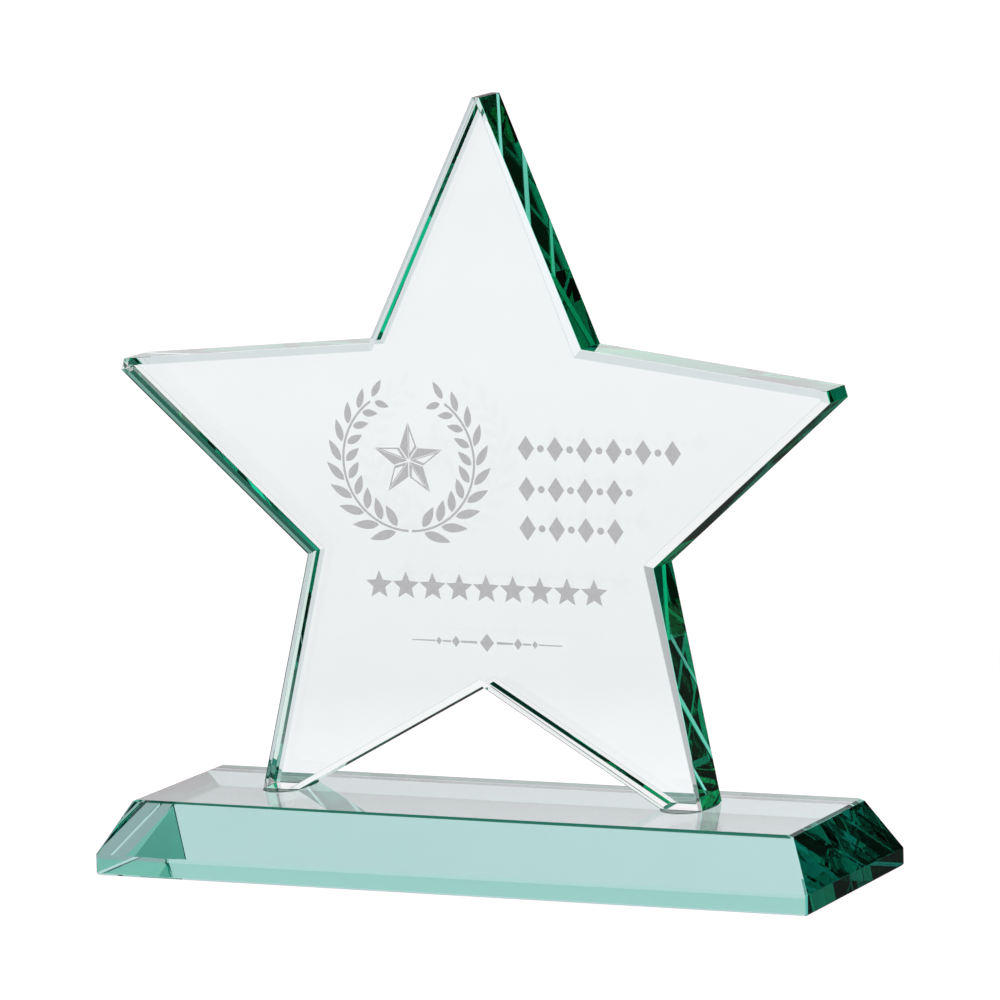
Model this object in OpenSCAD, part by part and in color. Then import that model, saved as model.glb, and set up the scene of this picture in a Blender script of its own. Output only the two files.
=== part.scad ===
// Star trophy: a bevelled jade-glass star standing on a bevelled jade-glass base block.
// Origin: middle of the base's underside. +X runs along the base, +Y to its back, +Z up.
// The star's engraved face looks towards -Y.

/* [Base block] */
// Length of the base along X
base_length = 200; // [180:1:240]
// Depth of the base from front to back
base_depth = 72; // [62:1:90]
// Thickness of the base plate
base_height = 19; // [15:0.5:22]
// Height of the upright edge left under the wide bevels
base_wall = 5.5; // [4:0.5:7]
// How much lower the upright edge at the back is than at the front
back_wall_drop = 0.7; // [0:0.1:1]
// How far the wide bevels at the front and back run in from the edge
long_bevel = 9; // [6:0.5:12]
// How far the wide bevels at the two ends run in from the edge
end_bevel = 8.1; // [6:0.1:12]
// Width of the small arris across each end of the top face
end_arris = 1.1; // [0.6:0.1:1.6]
// Width of the finer arris along the front and back of the top face
long_arris = 0.3; // [0.2:0.1:0.8]
// Drop of both of those arrises
top_arris_drop = 0.5; // [0.3:0.1:1]
// Size of the fine arris round the underside and on the upright corners
fine_arris = 0.5; // [0.3:0.1:0.9]

/* [Star plate] */
// Thickness of the star plate
star_thick = 15; // [12:0.5:19]
// Sideways place of the star's axis on the base
star_x = -2.9; // [-6:0.1:6]
// Place of the star's middle plane behind the middle of the base
star_y = 4.5; // [-5:0.5:6]
// Width of the bevel round the front outline, measured in the plane of the plate
bevel_width = 1.8; // [1.2:0.1:2.2]
// Depth of that bevel through the thickness
bevel_depth = 1; // [0.6:0.1:1.6]
// Width and depth of the finer bevel round the back outline, as a share of the front one
back_share = 0.6; // [0.4:0.05:1]
// Width of the flat ground across the top tip
top_flat = 2.2; // [1.6:0.1:3.2]
// Width of the flat ground across each arm tip
arm_flat = 3.2; // [2.2:0.1:4]

/* [Star outline] */
// Height of the sharp top corner, before its flat is ground
top_z = 206.2; // [200:0.1:215]
// Sideways offset of the top corner from the star's axis
top_x = 2.1; // [-3:0.1:3]
// Reach of the left arm's sharp corner from the axis
left_reach = 104.7; // [96:0.1:110]
// Height of the left arm's sharp corner
left_z = 132.3; // [128:0.1:135]
// Reach of the right arm's sharp corner from the axis
right_reach = 101.4; // [96:0.1:110]
// Height of the right arm's sharp corner
right_z = 129.4; // [128:0.1:135]
// Half the distance between the two upper notches
upper_notch_x = 30; // [27:0.1:33]
// Height of the two upper notches
upper_notch_z = 138.7; // [137:0.1:142]
// Half the distance between the two side notches
side_notch_x = 48.9; // [45:0.1:52]
// Height of the two side notches
side_notch_z = 82.2; // [79:0.1:85]
// Height of the notch between the legs
bottom_notch_z = 49; // [46:0.1:55]
// Outer edge of the left foot from the axis
left_foot_out = 63.4; // [62:0.1:66]
// Inner edge of the left foot from the axis
left_foot_in = 53.1; // [48:0.1:53.5]
// Outer edge of the right foot from the axis
right_foot_out = 61.5; // [61:0.1:66]
// Inner edge of the right foot from the axis
right_foot_in = 49.5; // [48:0.1:51.5]

/* [Bonds] */
// Thickness of the clear adhesive film under each foot
bond_thick = 0.2; // [0.1:0.05:0.4]
// How far each film stays inside the outline of its foot
bond_margin = 0.6; // [0.4:0.1:1]

/* [Hidden] */
foot_z = base_height + bond_thick;
front_y = star_y - star_thick / 2;
back_y = star_y + star_thick / 2;

// Sharp corners of the outline, seen from the front, as [x, z] from the star's axis.
top_c = [top_x, top_z];
upper_l = [-upper_notch_x, upper_notch_z];
upper_r = [upper_notch_x, upper_notch_z];
left_c = [-left_reach, left_z];
right_c = [right_reach, right_z];
side_l = [-side_notch_x, side_notch_z];
side_r = [side_notch_x, side_notch_z];
bottom_c = [0, bottom_notch_z];

function unit(v) = v / norm(v);

// Half the angle of the corner at c, between the edges that run to a and to b.
function half_angle(c, a, b) = acos(unit(a - c) * unit(b - c)) / 2;

// The point on the edge from c to a where a flat of width w starts.
function flat_end(c, a, b, w) = c + unit(a - c) * w / 2 / sin(half_angle(c, a, b));

// Bevel width across a tip's flat, wide enough for the inset outline to keep its order.
function tip_bevel(c, a, b, w, s) =
    let (h = half_angle(c, a, b), bw = s * bevel_width)
    max(bw, bw / sin(h) - w / 2 / tan(h) + 0.3);

// Outline of the plate, anticlockwise from the top flat's left end.
outline = [
    flat_end(top_c, upper_l, upper_r, top_flat),
    upper_l,
    flat_end(left_c, upper_l, side_l, arm_flat),
    flat_end(left_c, side_l, upper_l, arm_flat),
    side_l,
    [-left_foot_out, foot_z],
    [-left_foot_in, foot_z],
    bottom_c,
    [right_foot_in, foot_z],
    [right_foot_out, foot_z],
    side_r,
    flat_end(right_c, side_r, upper_r, arm_flat),
    flat_end(right_c, upper_r, side_r, arm_flat),
    upper_r,
    flat_end(top_c, upper_r, upper_l, top_flat)
];
count = len(outline);

// Bevel width of the edge that leaves each corner, for a bevel that is s times the front one's size.
// The feet stand flat, so theirs is 0.
function insets(s) =
    let (bw = s * bevel_width)
    [
        bw,
        bw,
        tip_bevel(left_c, upper_l, side_l, arm_flat, s),
        bw,
        bw,
        0,
        bw,
        bw,
        0,
        bw,
        bw,
        tip_bevel(right_c, side_r, upper_r, arm_flat, s),
        bw,
        bw,
        tip_bevel(top_c, upper_l, upper_r, top_flat, s)
    ];

// Inward normal of the edge that leaves corner i.
function inward(i) =
    let (e = unit(outline[(i + 1) % count] - outline[i]))
    [-e[1], e[0]];

// Corner i of the inset outline: where the two inset edges cross.
function inset_corner(i, widths) =
    let (
        j = (i + count - 1) % count,
        n1 = inward(j),
        n2 = inward(i),
        c = n1 * n2,
        a = (widths[j] - widths[i] * c) / (1 - c * c),
        b = (widths[i] - widths[j] * c) / (1 - c * c)
    )
    outline[i] + a * n1 + b * n2;

front_outline = [for (i = [0:count - 1]) inset_corner(i, insets(1))];
back_outline = [for (i = [0:count - 1]) inset_corner(i, insets(back_share))];

// One ring of the plate's corners at depth y.
function ring(points, y) = [for (p = points) [star_x + p[0], y, p[1]]];

plate_points = concat(
    ring(front_outline, front_y),
    ring(outline, front_y + bevel_depth),
    ring(outline, back_y - back_share * bevel_depth),
    ring(back_outline, back_y)
);

// Each flat face is a pentagon between the five notches and one piece for each arm and leg.
face_parts = [
    [1, 4, 7, 10, 13],
    [13, 14, 0, 1],
    [1, 2, 3, 4],
    [4, 5, 6, 7],
    [7, 8, 9, 10],
    [10, 11, 12, 13]
];

plate_faces = concat(
    [for (part = face_parts) [for (i = [len(part) - 1:-1:0]) part[i]]],
    [for (k = [0:2], i = [0:count - 1])
        let (j = (i + 1) % count)
        [k * count + i, k * count + j, (k + 1) * count + j, (k + 1) * count + i]],
    [for (part = face_parts) [for (i = part) 3 * count + i]]
);

jade = [0.72, 0.90, 0.86, 0.55];
clear_bond = [0.80, 0.88, 0.86, 0.6];

// One side of the base's profile, from its underside to its top face.
function side(half, bevel, wall, arris) = [
    [half - fine_arris, 0],
    [half, fine_arris],
    [half, wall],
    [half - bevel + arris, base_height - top_arris_drop],
    [half - bevel, base_height]
];

// Profile of the base between its two sides; the second side is given for +X and mirrored.
module base_profile(first, second) {
    other = [for (i = [len(second) - 1:-1:0]) [-second[i][0], second[i][1]]];
    polygon(concat(first, other));
}

// Plan of the base, with a fine arris on each upright corner.
module base_plan() {
    x = base_length / 2;
    y = base_depth / 2;
    c = fine_arris;
    polygon([
        [x - c, -y], [x, -y + c], [x, y - c], [x - c, y],
        [c - x, y], [-x, y - c], [-x, c - y], [c - x, -y]
    ]);
}

// Bevelled block cut from thick plate.
module base_block() {
    end_side = side(base_length / 2, end_bevel, base_wall, end_arris);
    front_side = side(base_depth / 2, long_bevel, base_wall, long_arris);
    back_side = side(base_depth / 2, long_bevel, base_wall - back_wall_drop, long_arris);
    color(jade)
        intersection() {
            rotate([90, 0, 0])
                linear_extrude(height = base_depth + 2, center = true)
                    base_profile(end_side, end_side);
            rotate([90, 0, 90])
                linear_extrude(height = base_length + 2, center = true)
                    base_profile(back_side, front_side);
            translate([0, 0, -1])
                linear_extrude(height = base_height + 2)
                    base_plan();
        }
}

// Five-armed star cut from plate, bevelled round its front and back outline.
module star_plaque() {
    color(jade)
        polyhedron(points = plate_points, faces = plate_faces, convexity = 6);
}

// Thin film of clear adhesive under one foot, from x0 to x1.
module foot_bond(x0, x1) {
    width = x1 - x0 - 2 * bond_margin;
    depth = star_thick - 2 * bevel_depth - 2 * bond_margin;
    translate([star_x + (x0 + x1) / 2, star_y, base_height])
        linear_extrude(height = bond_thick)
            intersection() {
                square([width, depth], center = true);
                rotate(45)
                    square((width + depth) / sqrt(2) - 1.4, center = true);
            }
}

module left_foot_bond() {
    color(clear_bond)
        foot_bond(-left_foot_out, -left_foot_in);
}

module right_foot_bond() {
    color(clear_bond)
        foot_bond(right_foot_in, right_foot_out);
}

base_block();
star_plaque();
left_foot_bond();
right_foot_bond();
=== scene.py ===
import math

import bmesh
import bpy
from mathutils import Matrix, Vector


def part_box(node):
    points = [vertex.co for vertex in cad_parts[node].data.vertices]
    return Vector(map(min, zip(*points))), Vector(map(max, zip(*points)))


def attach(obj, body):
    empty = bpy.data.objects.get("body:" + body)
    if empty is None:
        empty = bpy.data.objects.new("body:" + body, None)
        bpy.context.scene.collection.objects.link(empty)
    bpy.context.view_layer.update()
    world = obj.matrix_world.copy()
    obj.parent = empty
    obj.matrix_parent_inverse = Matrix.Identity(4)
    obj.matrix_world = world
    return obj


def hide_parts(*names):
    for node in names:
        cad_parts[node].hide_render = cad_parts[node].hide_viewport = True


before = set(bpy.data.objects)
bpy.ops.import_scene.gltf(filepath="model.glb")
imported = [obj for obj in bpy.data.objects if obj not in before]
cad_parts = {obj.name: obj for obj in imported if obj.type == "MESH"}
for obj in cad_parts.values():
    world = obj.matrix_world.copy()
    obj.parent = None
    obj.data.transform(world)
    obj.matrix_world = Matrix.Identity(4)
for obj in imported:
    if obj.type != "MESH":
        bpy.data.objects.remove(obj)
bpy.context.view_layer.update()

scene = bpy.context.scene
MM = 0.001

# ---------------------------------------------------------------- the star's outline, as part.scad has it
# Points of the outline are (x from the star's axis, z) in millimetres.
base_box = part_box("base_block")
star_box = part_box("star_plaque")
BASE_TOP = base_box[1].z
FRONT = star_box[0].y
BACK = star_box[1].y
FOOT_Z = star_box[0].z / MM
STAR_X = -2.9
TOP, LEFT, RIGHT = Vector((2.1, 206.2)), Vector((-104.7, 132.3)), Vector((101.4, 129.4))
UP_L, UP_R = Vector((-30.0, 138.7)), Vector((30.0, 138.7))
SIDE_L, SIDE_R = Vector((-48.9, 82.2)), Vector((48.9, 82.2))
BOTTOM = Vector((0.0, 49.0))
TOP_FLAT, ARM_FLAT = 2.2, 3.2


def half_angle(c, a, b):
    """Half the angle of the corner at c, between the edges that run to a and to b."""
    return math.acos((a - c).normalized().dot((b - c).normalized())) / 2


def flat_end(c, a, b, width):
    """Where a flat of that width, ground across the corner c, meets the edge from c to a."""
    return c + (a - c).normalized() * (width / 2 / math.sin(half_angle(c, a, b)))


OUTLINE = [
    flat_end(TOP, UP_L, UP_R, TOP_FLAT),
    UP_L,
    flat_end(LEFT, UP_L, SIDE_L, ARM_FLAT),
    flat_end(LEFT, SIDE_L, UP_L, ARM_FLAT),
    SIDE_L,
    Vector((-63.4, FOOT_Z)),
    Vector((-53.1, FOOT_Z)),
    BOTTOM,
    Vector((49.5, FOOT_Z)),
    Vector((61.5, FOOT_Z)),
    SIDE_R,
    flat_end(RIGHT, SIDE_R, UP_R, ARM_FLAT),
    flat_end(RIGHT, UP_R, SIDE_R, ARM_FLAT),
    UP_R,
    flat_end(TOP, UP_R, UP_L, TOP_FLAT),
]
# The bevel is ground by hand: its depth in millimetres at each corner, in front and behind.
DEPTH_FRONT = [0.9, 1.05, 1.0, 1.0, 1.0, 0.75, 0.7, 1.05, 0.6, 0.5, 1.15, 1.0, 1.0, 1.2, 0.5]
DEPTH_BACK = [0.6, 0.65, 0.6, 0.6, 0.65, 0.5, 0.5, 0.65, 0.5, 0.45, 0.6, 0.6, 0.6, 0.65, 0.6]
# The bevel's width in the plane of the plate, as a multiple of its depth.
SLOPE = 1.8
# Edges of the outline that are a tip's flat, with the corner and width of that flat, and those that are feet.
TIP_EDGES = {
    2: (LEFT, UP_L, SIDE_L, ARM_FLAT),
    11: (RIGHT, SIDE_R, UP_R, ARM_FLAT),
    14: (TOP, UP_L, UP_R, TOP_FLAT),
}
FOOT_EDGES = (5, 8)


def edge_width(k, depth):
    """Bevel width along edge k at a corner with that depth."""
    if k in FOOT_EDGES:
        return 0.0
    width = SLOPE * depth
    if k in TIP_EDGES:
        c, a, b, flat = TIP_EDGES[k]
        half = half_angle(c, a, b)
        width = max(width, width / math.sin(half) - flat / 2 / math.tan(half) + 0.3)
    return width


def inset(depths):
    """The outline of the flat face, inside the bevel."""
    n = len(OUTLINE)
    lines = []
    for k in range(n):
        p, q = OUTLINE[k], OUTLINE[(k + 1) % n]
        e = (q - p).normalized()
        inward = Vector((-e.y, e.x))
        a = p + inward * edge_width(k, depths[k])
        b = q + inward * edge_width(k, depths[(k + 1) % n])
        lines.append((a, b - a))
    found = []
    for k in range(n):
        (p, r), (q, s) = lines[k - 1], lines[k]
        cross = r.x * s.y - r.y * s.x
        t = ((q.x - p.x) * s.y - (q.y - p.y) * s.x) / cross
        found.append(p + r * t)
    return found


# ---------------------------------------------------------------- mesh helpers
def skin(bm, rings, rising=False):
    """Closed form with flat ends, through rings of corners that run from front to back, or that rise."""
    n = len(rings[0])
    bm.faces.new(rings[0][::-1] if rising else rings[0])
    bm.faces.new(rings[-1] if rising else rings[-1][::-1])
    for a, b in zip(rings, rings[1:]):
        for i in range(n):
            j = (i + 1) % n
            bm.faces.new((a[i], a[j], b[j], b[i]) if rising else (a[i], b[i], b[j], a[j]))


def new_object(name, bm, material):
    mesh = bpy.data.meshes.new(name)
    bmesh.ops.recalc_face_normals(bm, faces=bm.faces)
    bm.to_mesh(mesh)
    bm.free()
    mesh.materials.append(material)
    obj = bpy.data.objects.new(name, mesh)
    scene.collection.objects.link(obj)
    return obj


def painted_shade_tint(obj, colour_of):
    """Stores a painted shade and tint for each face, which the glass multiplies into its colour: near white
    if it is flat, darker or green on bevels and edges.
    """
    layer = obj.data.attributes.new("painted_shade_tint", "FLOAT_COLOR", "CORNER")
    for face in obj.data.polygons:
        colour = colour_of(face.normal, face.center / MM)
        for loop in face.loop_indices:
            layer.data[loop].color = (*colour, 1)


def ease_edges(bm, width, limit=12):
    """A fine polished arris along every edge that turns more than limit degrees."""
    bmesh.ops.recalc_face_normals(bm, faces=bm.faces)
    edges = [e for e in bm.edges if len(e.link_faces) == 2 and e.calc_face_angle(0) > math.radians(limit)]
    bmesh.ops.bevel(
        bm, geom=edges, offset=width, offset_type="OFFSET", segments=1,
        affect="EDGES", profile=0.5, clamp_overlap=True, miter_outer="SHARP",
    )


# ---------------------------------------------------------------- node helpers
def node(t, kind, x=0, y=0, **values):
    n = t.nodes.new(kind)
    n.location = (x, y)
    for key, value in values.items():
        setattr(n, key, value)
    return n


def ramp(t, value, stops, x=0, y=0):
    """Colour looked up from a value, through (position, colour) stops."""
    n = node(t, "ShaderNodeValToRGB", x, y)
    r = n.color_ramp
    r.elements[0].position, r.elements[0].color = stops[0][0], (*stops[0][1], 1)
    r.elements[1].position, r.elements[1].color = stops[-1][0], (*stops[-1][1], 1)
    for position, colour in stops[1:-1]:
        r.elements.new(position).color = (*colour, 1)
    t.links.new(value, n.inputs["Fac"])
    return n.outputs["Color"]


def noise(t, coord, scale, detail, x, y):
    n = node(t, "ShaderNodeTexNoise", x, y)
    n.inputs["Scale"].default_value = scale
    n.inputs["Detail"].default_value = detail
    t.links.new(coord.outputs["Object"], n.inputs["Vector"])
    return n.outputs["Fac"]


def map_range(t, value, source, target, x, y, **values):
    """A value carried from one (low, high) pair to another."""
    n = node(t, "ShaderNodeMapRange", x, y, **values)
    for name, number in zip(("From Min", "From Max", "To Min", "To Max"), (*source, *target)):
        n.inputs[name].default_value = number
    t.links.new(value, n.inputs["Value"])
    return n.outputs["Result"]


def bump(t, height, strength, distance, x, y):
    n = node(t, "ShaderNodeBump", x, y)
    n.inputs["Strength"].default_value = strength
    n.inputs["Distance"].default_value = distance
    t.links.new(height, n.inputs["Height"])
    return n.outputs["Normal"]


def maths(t, kind, a, b=None, x=0, y=0, clamp=False):
    n = node(t, "ShaderNodeMath", x, y, operation=kind, use_clamp=clamp)
    for socket, value in zip(n.inputs, (a, b)):
        if value is None:
            continue
        if isinstance(value, (int, float)):
            socket.default_value = value
        else:
            t.links.new(value, socket)
    return n.outputs[0]


def blend(t, factor, a, b, x, y):
    """Colour a where factor is 0 and b where it is 1."""
    n = node(t, "ShaderNodeMix", x, y, data_type="RGBA")
    t.links.new(factor, n.inputs["Factor"])
    for socket, value in (("A", a), ("B", b)):
        if isinstance(value, tuple):
            n.inputs[socket].default_value = (*value, 1)
        else:
            t.links.new(value, n.inputs[socket])
    return n.outputs["Result"]


def combine(t, kind, a, b, x, y):
    """Two colours, multiplied or added."""
    n = node(t, "ShaderNodeMix", x, y, data_type="RGBA", blend_type=kind)
    n.inputs["Factor"].default_value = 1.0
    t.links.new(a, n.inputs["A"])
    t.links.new(b, n.inputs["B"])
    return n.outputs["Result"]


def principled(name):
    """A new material, with its node tree and its Principled shader."""
    m = bpy.data.materials.new(name)
    m.use_nodes = True
    return m, m.node_tree, m.node_tree.nodes["Principled BSDF"]


# ---------------------------------------------------------------- materials
def jade_glass(name, waviness, absorb, density):
    """Clear plate glass with a green body colour, polished by hand on its ground faces, and painted shade and
    tint per face in its colour.
    """
    m, t, p = principled(name)
    p.inputs["Transmission Weight"].default_value = 1.0
    p.inputs["IOR"].default_value = 1.52
    coord = node(t, "ShaderNodeTexCoord", -900, 0)
    # Faint polishing streaks: the surface colour and the gloss vary a little over centimetres.
    streak = noise(t, coord, 60.0, 4.0, -600, 150)
    tint = ramp(t, streak, [(0.3, (0.975, 0.985, 0.985)), (0.7, (1.0, 1.0, 1.0))], -300, 200)
    # The base colour carries the painted shade and tint of each face, read from its mesh attribute.
    ground = node(t, "ShaderNodeAttribute", -300, 400, attribute_name="painted_shade_tint")
    t.links.new(combine(t, "MULTIPLY", tint, ground.outputs["Color"], 0, 250), p.inputs["Base Color"])
    t.links.new(map_range(t, streak, (0.55, 0.9), (0.0, 0.006), -300, -50), p.inputs["Roughness"])
    wave = noise(t, coord, 90.0, 2.0, -600, -300)
    t.links.new(bump(t, wave, waviness, 0.001, -100, -300), p.inputs["Normal"])
    vol = node(t, "ShaderNodeVolumeAbsorption", 350, -500)
    vol.inputs["Color"].default_value = (*absorb, 1)
    vol.inputs["Density"].default_value = density
    t.links.new(vol.outputs["Volume"], t.nodes["Material Output"].inputs["Volume"])
    return m


def frosted(name, light, dark, scale):
    """Sand-etched glass: a matt grey tooth with fine grains and slow changes in depth."""
    m, t, p = principled(name)
    p.inputs["IOR"].default_value = 1.5
    coord = node(t, "ShaderNodeTexCoord", -900, 0)
    grain = noise(t, coord, scale, 3.0, -650, 150)
    t.links.new(ramp(t, grain, [(0.3, dark), (0.7, light)], -400, 200), p.inputs["Base Color"])
    t.links.new(map_range(t, grain, (0.0, 1.0), (0.75, 0.95), -400, -50), p.inputs["Roughness"])
    t.links.new(bump(t, grain, 0.3, 0.00005, -200, -300), p.inputs["Normal"])
    return m


def adhesive(name, light, dark):
    """Clear UV adhesive, a little cloudy, with roughness as small bubbles give."""
    m, t, p = principled(name)
    p.inputs["Transmission Weight"].default_value = 1.0
    p.inputs["IOR"].default_value = 1.49
    coord = node(t, "ShaderNodeTexCoord", -900, 0)
    cloud = noise(t, coord, 400.0, 4.0, -650, 150)
    t.links.new(ramp(t, cloud, [(0.3, dark), (0.7, light)], -400, 200), p.inputs["Base Color"])
    t.links.new(map_range(t, cloud, (0.0, 1.0), (0.08, 0.3), -400, -50), p.inputs["Roughness"])
    return m


# How strongly both plates absorb light, per metre. The base is a little bluer than the star.
GLASS_DENSITY = 14.5
glass = jade_glass("jade_glass", 0.002, (0.10, 0.72, 0.62), GLASS_DENSITY)
glass_base = jade_glass("jade_glass_base", 0.0004, (0.10, 0.66, 0.60), GLASS_DENSITY)
etch = frosted("etched_frost", (0.53, 0.585, 0.585), (0.45, 0.50, 0.50), 2500.0)
bond = adhesive("clear_adhesive", (0.22, 0.36, 0.32), (0.10, 0.22, 0.19))


# ---------------------------------------------------------------- star
# Heights in millimetres that part the painted shades: just under the upper notches, and just over the side
# ones.
NOTCH_Z, LEG_Z = 138, 84


def bevel_painted_shade(normal, centre):
    """Painted shade on the bevels: grey, darker or lighter by the way each bevel faces and how high it
    stands.
    """
    if normal.y > 0 and normal.x > 0.25:
        return (0.30, 0.40, 0.37) if centre.z > NOTCH_Z else (0.05, 0.12, 0.09)
    if normal.x > 0.3 and centre.z < LEG_Z and centre.x > 40:
        return (0.24, 0.25, 0.25)
    if normal.x > 0.3 and centre.z > NOTCH_Z:
        return (0.90, 0.92, 0.93)
    if normal.x < -0.2 and normal.z < -0.2 and centre.z > LEG_Z:
        return (0.05, 0.22, 0.16) if normal.y < 0 else (0.90, 0.95, 0.94)
    if normal.z < -0.3:
        return (0.90, 0.95, 0.94)
    return (0.64, 0.71, 0.71)


def edge_painted_shade(normal, centre):
    """Painted shade and tint on the sawn and polished edges: green, clear on those that face up, and dull on
    the top arm's left one.
    """
    if normal.x < -0.6 and centre.z > NOTCH_Z:
        return (0.12, 0.25, 0.19)
    if normal.z > 0.6:
        return (0.92, 0.80, 0.90) if centre.x > 0 else (0.95, 0.95, 0.95)
    if normal.x < -0.3 and normal.z < -0.3:
        return (0.05, 0.55, 0.38)
    if normal.z < -0.6:
        return (0.62, 0.80, 0.78)
    return (0.10, 0.90, 0.60)


# Painted shade for each face of the star: a faint grey on the flat faces, and the bevels' and edges' own
# painted shades.
def star_painted_shade(normal, centre):
    if abs(normal.y) > 0.97:
        return (0.965, 0.965, 0.96)
    if abs(normal.y) > 0.6:
        return bevel_painted_shade(normal, centre)
    return edge_painted_shade(normal, centre)


def build_star():
    bm = bmesh.new()

    def ring(points, depths):
        return [bm.verts.new(((STAR_X + p.x) * MM, y, p.y * MM)) for p, y in zip(points, depths)]

    n = len(OUTLINE)
    skin(bm, [
        ring(inset(DEPTH_FRONT), [FRONT] * n),
        ring(OUTLINE, [FRONT + d * MM for d in DEPTH_FRONT]),
        ring(OUTLINE, [BACK - d * MM for d in DEPTH_BACK]),
        ring(inset(DEPTH_BACK), [BACK] * n),
    ])
    ease_edges(bm, 0.1 * MM)
    obj = new_object("star_glass", bm, glass)
    painted_shade_tint(obj, star_painted_shade)
    return obj


star = build_star()
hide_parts("star_plaque")
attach(star, "root")


# ---------------------------------------------------------------- base
# Sizes in millimetres, as part.scad has them.
BASE_WALL, BACK_WALL_DROP = 5.5, 0.7
LONG_BEVEL, END_BEVEL = 9.0, 8.1
LONG_ARRIS, END_ARRIS, TOP_ARRIS_DROP = 0.3, 1.1, 0.5
FINE_ARRIS = 0.5
# How far the ends' top edges turn in at the back, where their bevel runs into the deeper back one.
BACK_TURN_IN = 0.42


def chamfered(bm, half_x, half_y, z, cut):
    """Ring of eight corners: a rectangle with its corners cut."""
    x, y, c = half_x, half_y, cut
    right = [(x - c, -y), (x, c - y), (x, y - c), (x - c, y)]
    left = [(-px, -py) for px, py in right]
    return [bm.verts.new((px * MM, py * MM, z * MM)) for px, py in right + left]


def base_painted_shade(normal, centre):
    """Painted shade and tint on the base: the two ends and their bevels are tinted green most, in different
    shades on the right and the left; the top face is a little darker and the thin arris round the top greyer.
    """
    if abs(normal.x) > 0.97:
        return (0.55, 0.95, 0.95) if normal.x > 0 else (0.45, 0.64, 0.60)
    if abs(normal.x) > 0.6:
        return (0.16, 0.92, 0.86) if normal.x > 0 else (0.42, 0.62, 0.57)
    if normal.z > 0.97:
        return (0.85, 0.80, 0.80)
    if normal.z > 0.7:
        return (0.40, 0.72, 0.66)
    return (1.0, 1.0, 1.0)


def build_base():
    """Plate with wide bevels, narrow arrises round its top, and fine ones below and at its corners."""
    bm = bmesh.new()
    hx, hy, top = base_box[1].x / MM, base_box[1].y / MM, BASE_TOP / MM
    top_x, top_y = hx - END_BEVEL, hy - LONG_BEVEL
    rings = [
        chamfered(bm, hx - FINE_ARRIS, hy - FINE_ARRIS, 0.0, 0.5),
        chamfered(bm, hx, hy, FINE_ARRIS, 0.55),
        chamfered(bm, hx, hy, BASE_WALL, 0.55),
        chamfered(bm, top_x + END_ARRIS, top_y + LONG_ARRIS, top - TOP_ARRIS_DROP, 0.5),
        chamfered(bm, top_x, top_y, top, 0.5),
    ]
    for v in rings[2]:
        if v.co.y > 0:
            v.co.z -= BACK_WALL_DROP * MM
    for v in rings[3] + rings[4]:
        if v.co.y > 0:
            v.co.x -= math.copysign(BACK_TURN_IN * MM, v.co.x)
    skin(bm, rings, rising=True)
    ease_edges(bm, 0.06 * MM, limit=8)
    obj = new_object("base_glass", bm, glass_base)
    painted_shade_tint(obj, base_painted_shade)
    return obj


base = build_base()
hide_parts("base_block")
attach(base, "root")


# ---------------------------------------------------------------- adhesive
# How far the adhesive reaches past the CAD film at its sides, and in front and behind. HAIR is its gap to
# the glass above and below.
SIDE_SQUEEZE, FRONT_SQUEEZE, HAIR = 1.3 * MM, 6.0 * MM, 0.015 * MM


def blob_radius(angle, seed):
    """Radius of a rounded square with a side of 2, a little uneven."""
    power = 2.3
    rounded = (abs(math.cos(angle)) ** power + abs(math.sin(angle)) ** power) ** (-1 / power)
    return rounded * (1 + 0.012 * math.sin(3 * angle + seed) + 0.008 * math.sin(7 * angle))


def build_bond(name, source):
    """A film with a rounded plan and a thin squeezed-out rim, a hair clear of both glass faces."""
    lo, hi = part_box(source)
    cx, cy = (lo.x + hi.x) / 2, (lo.y + hi.y) / 2
    hx, hy = (hi.x - lo.x) / 2 + SIDE_SQUEEZE, (hi.y - lo.y) / 2 + FRONT_SQUEEZE
    z0, z1 = lo.z + HAIR, hi.z - HAIR
    bm = bmesh.new()
    steps = 72
    angles = [2 * math.pi * k / steps for k in range(steps)]
    rings = []
    for scale, z in ((0.97, z0), (1.0, z0 * 0.6 + z1 * 0.4), (0.985, z1)):
        ring = []
        for a in angles:
            r = scale * blob_radius(a, cx * 900)
            ring.append(bm.verts.new((cx + hx * r * math.cos(a), cy + hy * r * math.sin(a), z)))
        rings.append(ring)
    skin(bm, rings, rising=True)
    obj = new_object(name, bm, bond)
    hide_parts(source)
    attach(obj, "root")
    return obj


build_bond("left_adhesive", "left_foot_bond")
build_bond("right_adhesive", "right_foot_bond")


# ---------------------------------------------------------------- etched ornament on the front face
# Places on the face are (x, z) in millimetres.
ETCH_BACK = FRONT - 0.01 * MM
ETCH_FRONT = FRONT - 0.05 * MM
WREATH_X, WREATH_Z, WREATH_RADIUS = -21.8, 108.2, 18.6


def plate(bm, points):
    """A thin closed tile with that outline."""
    skin(bm, [[bm.verts.new((x * MM, y, z * MM)) for x, z in points] for y in (ETCH_FRONT, ETCH_BACK)])


def polar(centre, radius, angle):
    return (centre[0] + radius * math.cos(angle), centre[1] + radius * math.sin(angle))


def star_points(centre, outer, inner):
    return [polar(centre, inner if k % 2 else outer, math.radians(90 + 36 * k)) for k in range(10)]


def lozenge(bm, x, z, half_width, half_height):
    plate(bm, [(x, z - half_height), (x + half_width, z), (x, z + half_height), (x - half_width, z)])


def leaf(x, z, angle, length, width):
    """Laurel leaf outline that starts at (x, z) and points along angle."""
    ca, sa = math.cos(angle), math.sin(angle)
    points = []
    for side, steps in ((1, range(0, 9)), (-1, range(7, 0, -1))):
        for k in steps:
            t = k / 8
            w = side * width / 2 * math.sin(math.pi * t ** 0.8) ** 0.9
            points.append((x + ca * length * t - sa * w, z + sa * length * t + ca * w))
    return points


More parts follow.
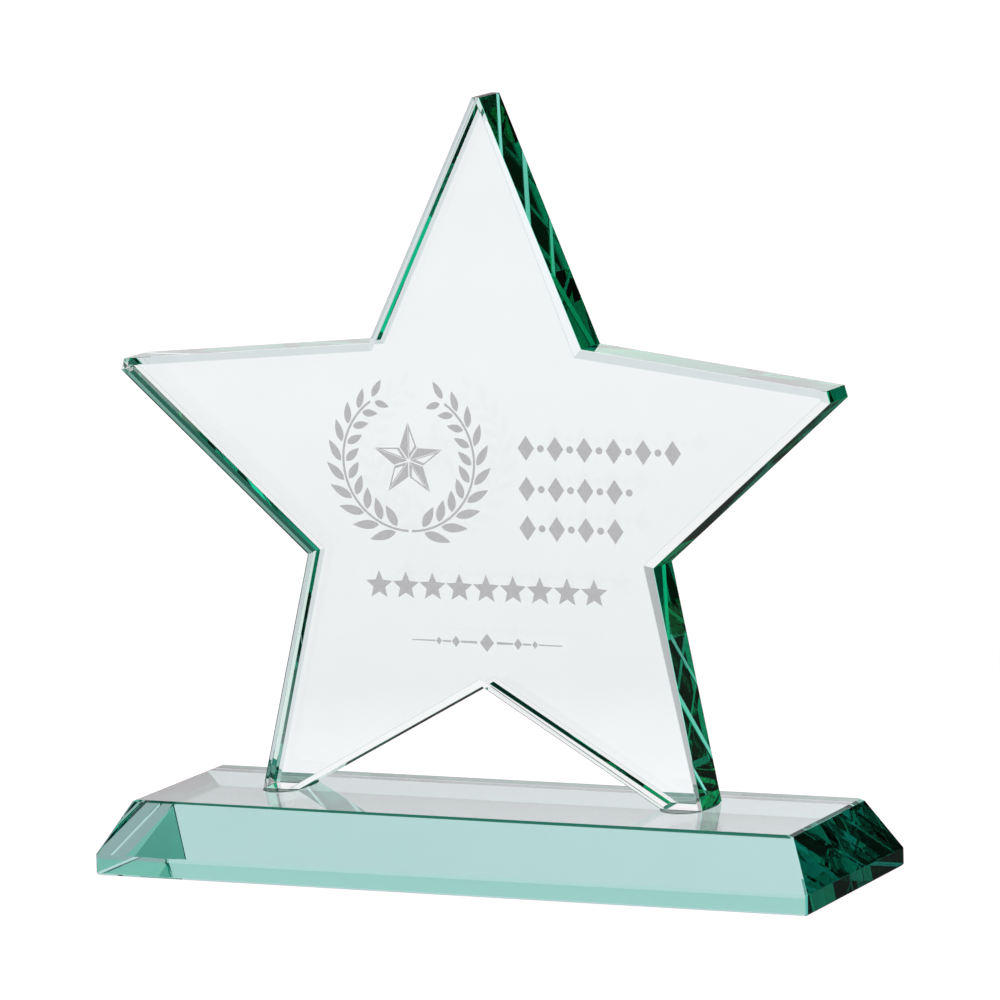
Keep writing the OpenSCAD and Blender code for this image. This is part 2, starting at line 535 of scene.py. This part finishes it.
def build_branch(bm, side):
    """One half of the wreath: ten pairs of leaves that get smaller along a thin stem."""
    for k in range(10):
        a = math.radians(-78 + k * 15.2)
        tangent = a + math.pi / 2
        if side < 0:
            tangent = math.pi - tangent
        length, width = 7.8 - 0.28 * k, 2.5 - 0.07 * k
        # Each leaf starts a hair clear of the stem, on its own side of it. The inner ones are shorter.
        for turn, offset, share in ((0.85, -0.75, 0.8), (-0.5, 0.75, 1.0)):
            start = WREATH_RADIUS + offset
            x, z = WREATH_X + side * start * math.cos(a), WREATH_Z + start * math.sin(a)
            plate(bm, leaf(x, z, tangent + side * turn, length * share, width))
    angles = [math.radians(-88.5 + k * 6.0) for k in range(25)]
    stem = []
    for radius, row in ((WREATH_RADIUS + 0.3, angles), (WREATH_RADIUS - 0.3, angles[::-1])):
        stem += [(WREATH_X + side * radius * math.cos(a), WREATH_Z + radius * math.sin(a)) for a in row]
    plate(bm, stem)


def shrunk(triangle, share):
    """A triangle drawn in towards its middle."""
    a, b, c = triangle
    middle = (b + c + a) / 3
    return [middle + (p - middle) * share for p in triangle]


def build_wreath():
    """Two branches round a star whose points are split along their ridges, so that it looks cut in facets."""
    bm = bmesh.new()
    for side in (1, -1):
        build_branch(bm, side)
    middle = Vector((WREATH_X, WREATH_Z))
    corners = [Vector(p) for p in star_points((WREATH_X, WREATH_Z), 10.5, 4.3)]
    for k in range(5):
        tip = corners[2 * k]
        lit = [middle, tip, corners[(2 * k + 1) % 10]]
        plate(bm, [tuple(v) for v in shrunk(lit, 0.93)])
        shaded = [middle, tip, corners[2 * k - 1]]
        rim, hole = shrunk(shaded, 0.90), shrunk(shaded, 0.58)
        for i in range(3):
            j = (i + 1) % 3
            plate(bm, [tuple(v) for v in (rim[i], rim[j], hole[j], hole[i])])
    return new_object("etched_wreath", bm, etch)


def build_flourish(bm, middle, line):
    """A thin broken line with lozenges in its gaps, the same on both sides of its middle."""
    for side in (1, -1):
        for x0, x1, thick in ((2.8, 7.4, 0.34), (10.2, 12.6, 0.28), (14.6, 21.3, 0.2)):
            ends = ((x0, -thick), (x1, -thick * 0.7), (x1, thick * 0.7), (x0, thick))
            plate(bm, [(middle + side * x, line + z) for x, z in ends])
        for x, size in ((8.8, 1.15), (13.6, 0.8)):
            corners = ((x - size, 0), (x, -1.3 * size), (x + size, 0), (x, 1.3 * size))
            plate(bm, [(middle + side * px, line + z) for px, z in corners])
    lozenge(bm, middle, line, 2.0, 2.4)


def build_rules():
    """Ornamental rows: lozenges and dots beside the wreath, a row of stars, and a thin flourish."""
    bm = bmesh.new()
    left, pitch = 11.5, 4.1
    for z, count in ((112.6, 11), (101.9, 8), (91.6, 7)):
        for k in range(count):
            x = left + k * pitch
            if k % 2 == 0:
                lozenge(bm, x, z, 2.3, 3.3)
            else:
                plate(bm, [polar((x, z), 0.95, i * math.pi / 8) for i in range(16)])
    for k in range(9):
        plate(bm, star_points((-0.6 + (k - 4) * 7.6, 75.0), 3.9, 1.75))
    build_flourish(bm, -0.7, 60.9)
    return new_object("etched_rules", bm, etch)


for piece in (build_wreath(), build_rules()):
    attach(piece, "root")


# ---------------------------------------------------------------- studio
# Black flags and pale cards make the edges of glass read. They are set by how the light has travelled:
# light that stays long in the glass, or that its outside mirrors, finds a darker studio.
def light_masks(t, fades, x, y):
    """A mask for each (first, last) number of meetings with glass, and then one for mirrored light.
    Light that a matt surface scatters is in none of them."""
    path = node(t, "ShaderNodeLightPath", x, y).outputs
    seen = maths(t, "MAXIMUM", path["Is Transmission Ray"], path["Is Diffuse Ray"], x + 200, y - 200)
    seen = maths(t, "MAXIMUM", seen, path["Is Camera Ray"], x + 350, y - 200)
    mirrored = maths(t, "SUBTRACT", 1.0, seen, x + 500, y - 200, clamp=True)
    direct = maths(t, "SUBTRACT", 1.0, path["Diffuse Depth"], x + 500, y - 400, clamp=True)
    masks = [map_range(t, path["Ray Depth"], fade, (0.0, 1.0), x + 200, y) for fade in fades]
    return [maths(t, "MULTIPLY", mask, direct, x + 650, y) for mask in masks + [mirrored]]


def grey(level):
    return (level, level, level)


def build_floor():
    """A pale table that glows with painted light, brightest close round the object and far from it."""
    bm = bmesh.new()
    bmesh.ops.create_grid(bm, x_segments=8, y_segments=8, size=14.0)
    m, t, p = principled("studio_floor")
    p.inputs["Roughness"].default_value = 0.9
    p.inputs["Specular IOR Level"].default_value = 0.0
    coord = node(t, "ShaderNodeTexCoord", -1200, 0)
    reach = node(t, "ShaderNodeVectorMath", -900, -600, operation="LENGTH")
    t.links.new(coord.outputs["Object"], reach.inputs[0])
    reach = reach.outputs["Value"]
    trapped, longest, mirrored = light_masks(t, [(2.5, 3.5), (3.5, 6.0)], -1000, -900)

    paper = noise(t, coord, 3.0, 2.0, -600, 0)
    tint = ramp(t, paper, [(0.3, (0.38, 0.36, 0.36)), (0.7, (0.40, 0.38, 0.38))], -500, 0)
    # Painted light and reflection: the table turns dark green for light that has stayed in the glass, and
    # near black where the glass's outside mirrors it.
    matt = blend(t, trapped, tint, (0.01, 0.16, 0.08), -300, 0)
    t.links.new(blend(t, mirrored, matt, grey(0.02), -100, 0), p.inputs["Base Color"])

    # Painted light: a green glow for light that has stayed long in the glass, standing in for the light the
    # glass throws on the table; it is dull close to the base.
    dull, vivid = (0.05, 0.30, 0.25), (0.015, 0.80, 0.52)
    painted_green_glow = ramp(t, reach, [(0.0, dull), (0.095, dull), (0.125, vivid), (1.0, vivid)], -700, -400)
    green = blend(t, longest, (0.56, 0.62, 0.60), painted_green_glow, -500, -300)
    glow = blend(t, trapped, (0.81, 0.70, 0.74), green, -300, -300)
    # Painted reflection: where the glass mirrors the table, its glow is near black.
    t.links.new(blend(t, mirrored, glow, grey(0.03), -100, -300), p.inputs["Emission Color"])
    # Painted light: the glow is strongest within 13 cm of the object, dips towards 30 cm and rises a little
    # farther out.
    stops = [(0.0, grey(1.13)), (0.13, grey(1.13)), (0.3, grey(0.98)), (1.0, grey(1.04))]
    t.links.new(ramp(t, reach, stops, -400, -600), p.inputs["Emission Strength"])

    obj = new_object("studio_floor", bm, m)
    obj.location = (0, 0, -0.00002)
    return obj


build_floor()


def build_world():
    """A soft box overhead, a pale backdrop all round, and four cards that the glass mirrors.
    Heights are the z of a direction, from 0 at the horizon to 1 overhead."""
    w = bpy.data.worlds.new("studio")
    scene.world = w
    w.use_nodes = True
    t = w.node_tree
    bg = t.nodes["Background"]
    coord = node(t, "ShaderNodeTexCoord", -900, 0)
    direction = node(t, "ShaderNodeSeparateXYZ", -700, 0)
    t.links.new(coord.outputs["Generated"], direction.inputs["Vector"])
    direction = direction.outputs

    def by_height(stops, x, y):
        return ramp(t, direction["Z"], stops, x, y)

    # The backdrop reaches higher on the left, and the space above it is dark green up to the soft box.
    pale, above, dark_above = (1.24, 1.05, 1.09), (0.06, 0.24, 0.18), (0.02, 0.10, 0.07)
    upper = [(0.56, above), (0.66, (0.04, 0.06, 0.05)), (0.80, (1.5, 1.4, 1.45)), (1.0, (1.6, 1.5, 1.55))]
    low = by_height([(0.0, pale), (0.30, pale), (0.38, dark_above)] + upper, -400, 300)
    high = by_height([(0.0, pale), (0.42, pale), (0.46, above)] + upper, -400, 500)
    right = map_range(t, direction["X"], (0.0, 0.06), (0.0, 1.0), -500, 700)
    backdrop = blend(t, right, high, low, -200, 400)

    # Four tall cards, a quarter turn apart, stand round the table.
    cards, card_turn = 4, math.radians(22.9)
    turn = maths(t, "ARCTAN2", direction["X"], direction["Y"], -500, -700)
    turn = maths(t, "MULTIPLY_ADD", turn, cards, -350, -700)
    turn.node.inputs[2].default_value = cards * card_turn
    card = maths(t, "COSINE", turn, None, -200, -700)
    card = map_range(t, card, (0.25, 0.55), (0.0, 1.0), -50, -700, interpolation_type="SMOOTHSTEP")

    # What the outside of the glass mirrors: the cards, black between them, and the soft box.
    foot, shade, face = (1.0, 0.98, 1.0), (0.34, 0.26, 0.28), (1.5, 1.5, 1.52)
    stops = [(0.0, foot), (0.09, foot), (0.12, shade), (0.17, shade), (0.21, face), (0.42, face)]
    pale_card = by_height(stops + [(0.48, grey(0.01)), (1.0, grey(0.01))], -300, 0)
    soft_box = by_height([(0.0, grey(0)), (0.76, grey(0)), (0.80, grey(1.2)), (1.0, grey(1.2))], -300, -200)
    mirror = combine(t, "ADD", blend(t, card, grey(0.01), pale_card, 0, 0), soft_box, 150, -100)

    # What light that stays long in the glass finds: green cards and near black between them.
    gap, box = (0.0, 0.02, 0.01), (0.5, 0.9, 0.85)
    stops = [(0.0, (0.08, 0.60, 0.56)), (0.25, (0.16, 0.80, 0.78)), (0.42, gap), (0.78, gap)]
    green_card = by_height(stops + [(0.84, box), (1.0, box)], -300, -400)
    deep = blend(t, card, (0.0, 0.03, 0.021), green_card, 0, -400)

    trapped, mirrored = light_masks(t, [(4.0, 6.5)], -1200, -1000)
    colour = blend(t, trapped, backdrop, deep, 250, 100)
    t.links.new(blend(t, mirrored, colour, mirror, 400, 100), bg.inputs["Color"])


build_world()

scene.view_settings.view_transform = "Standard"
scene.view_settings.look = "None"
scene.cycles.max_bounces = 40
scene.cycles.transmission_bounces = 40
scene.cycles.glossy_bounces = 24
scene.cycles.diffuse_bounces = 4
scene.cycles.transparent_max_bounces = 16
scene.cycles.caustics_reflective = True
scene.cycles.caustics_refractive = True
scene.cycles.sample_clamp_indirect = 6.0


# ---------------------------------------------------------------- camera
def build_camera():
    """Looks at the object from its right and a little above, and is tilted slightly."""
    az, el, roll = math.radians(22.93), math.radians(8.33), math.radians(-1.29)
    target, distance = Vector((0.00262, 0.0, 0.09827)), 2.2
    back = Vector((math.sin(az) * math.cos(el), -math.cos(az) * math.cos(el), math.sin(el)))
    flat = Vector((math.cos(az), math.sin(az), 0.0))
    up = flat.cross(-back)
    right = flat * math.cos(roll) + up * math.sin(roll)
    over = up * math.cos(roll) - flat * math.sin(roll)
    data = bpy.data.cameras.new("camera")
    data.sensor_width = 36.0
    data.lens = 303.94
    data.clip_start, data.clip_end = 0.05, 60.0
    cam = bpy.data.objects.new("camera", data)
    scene.collection.objects.link(cam)
    m = Matrix((right, over, back)).transposed().to_4x4()
    m.translation = target + back * distance
    cam.matrix_world = m
    scene.camera = cam


build_camera()
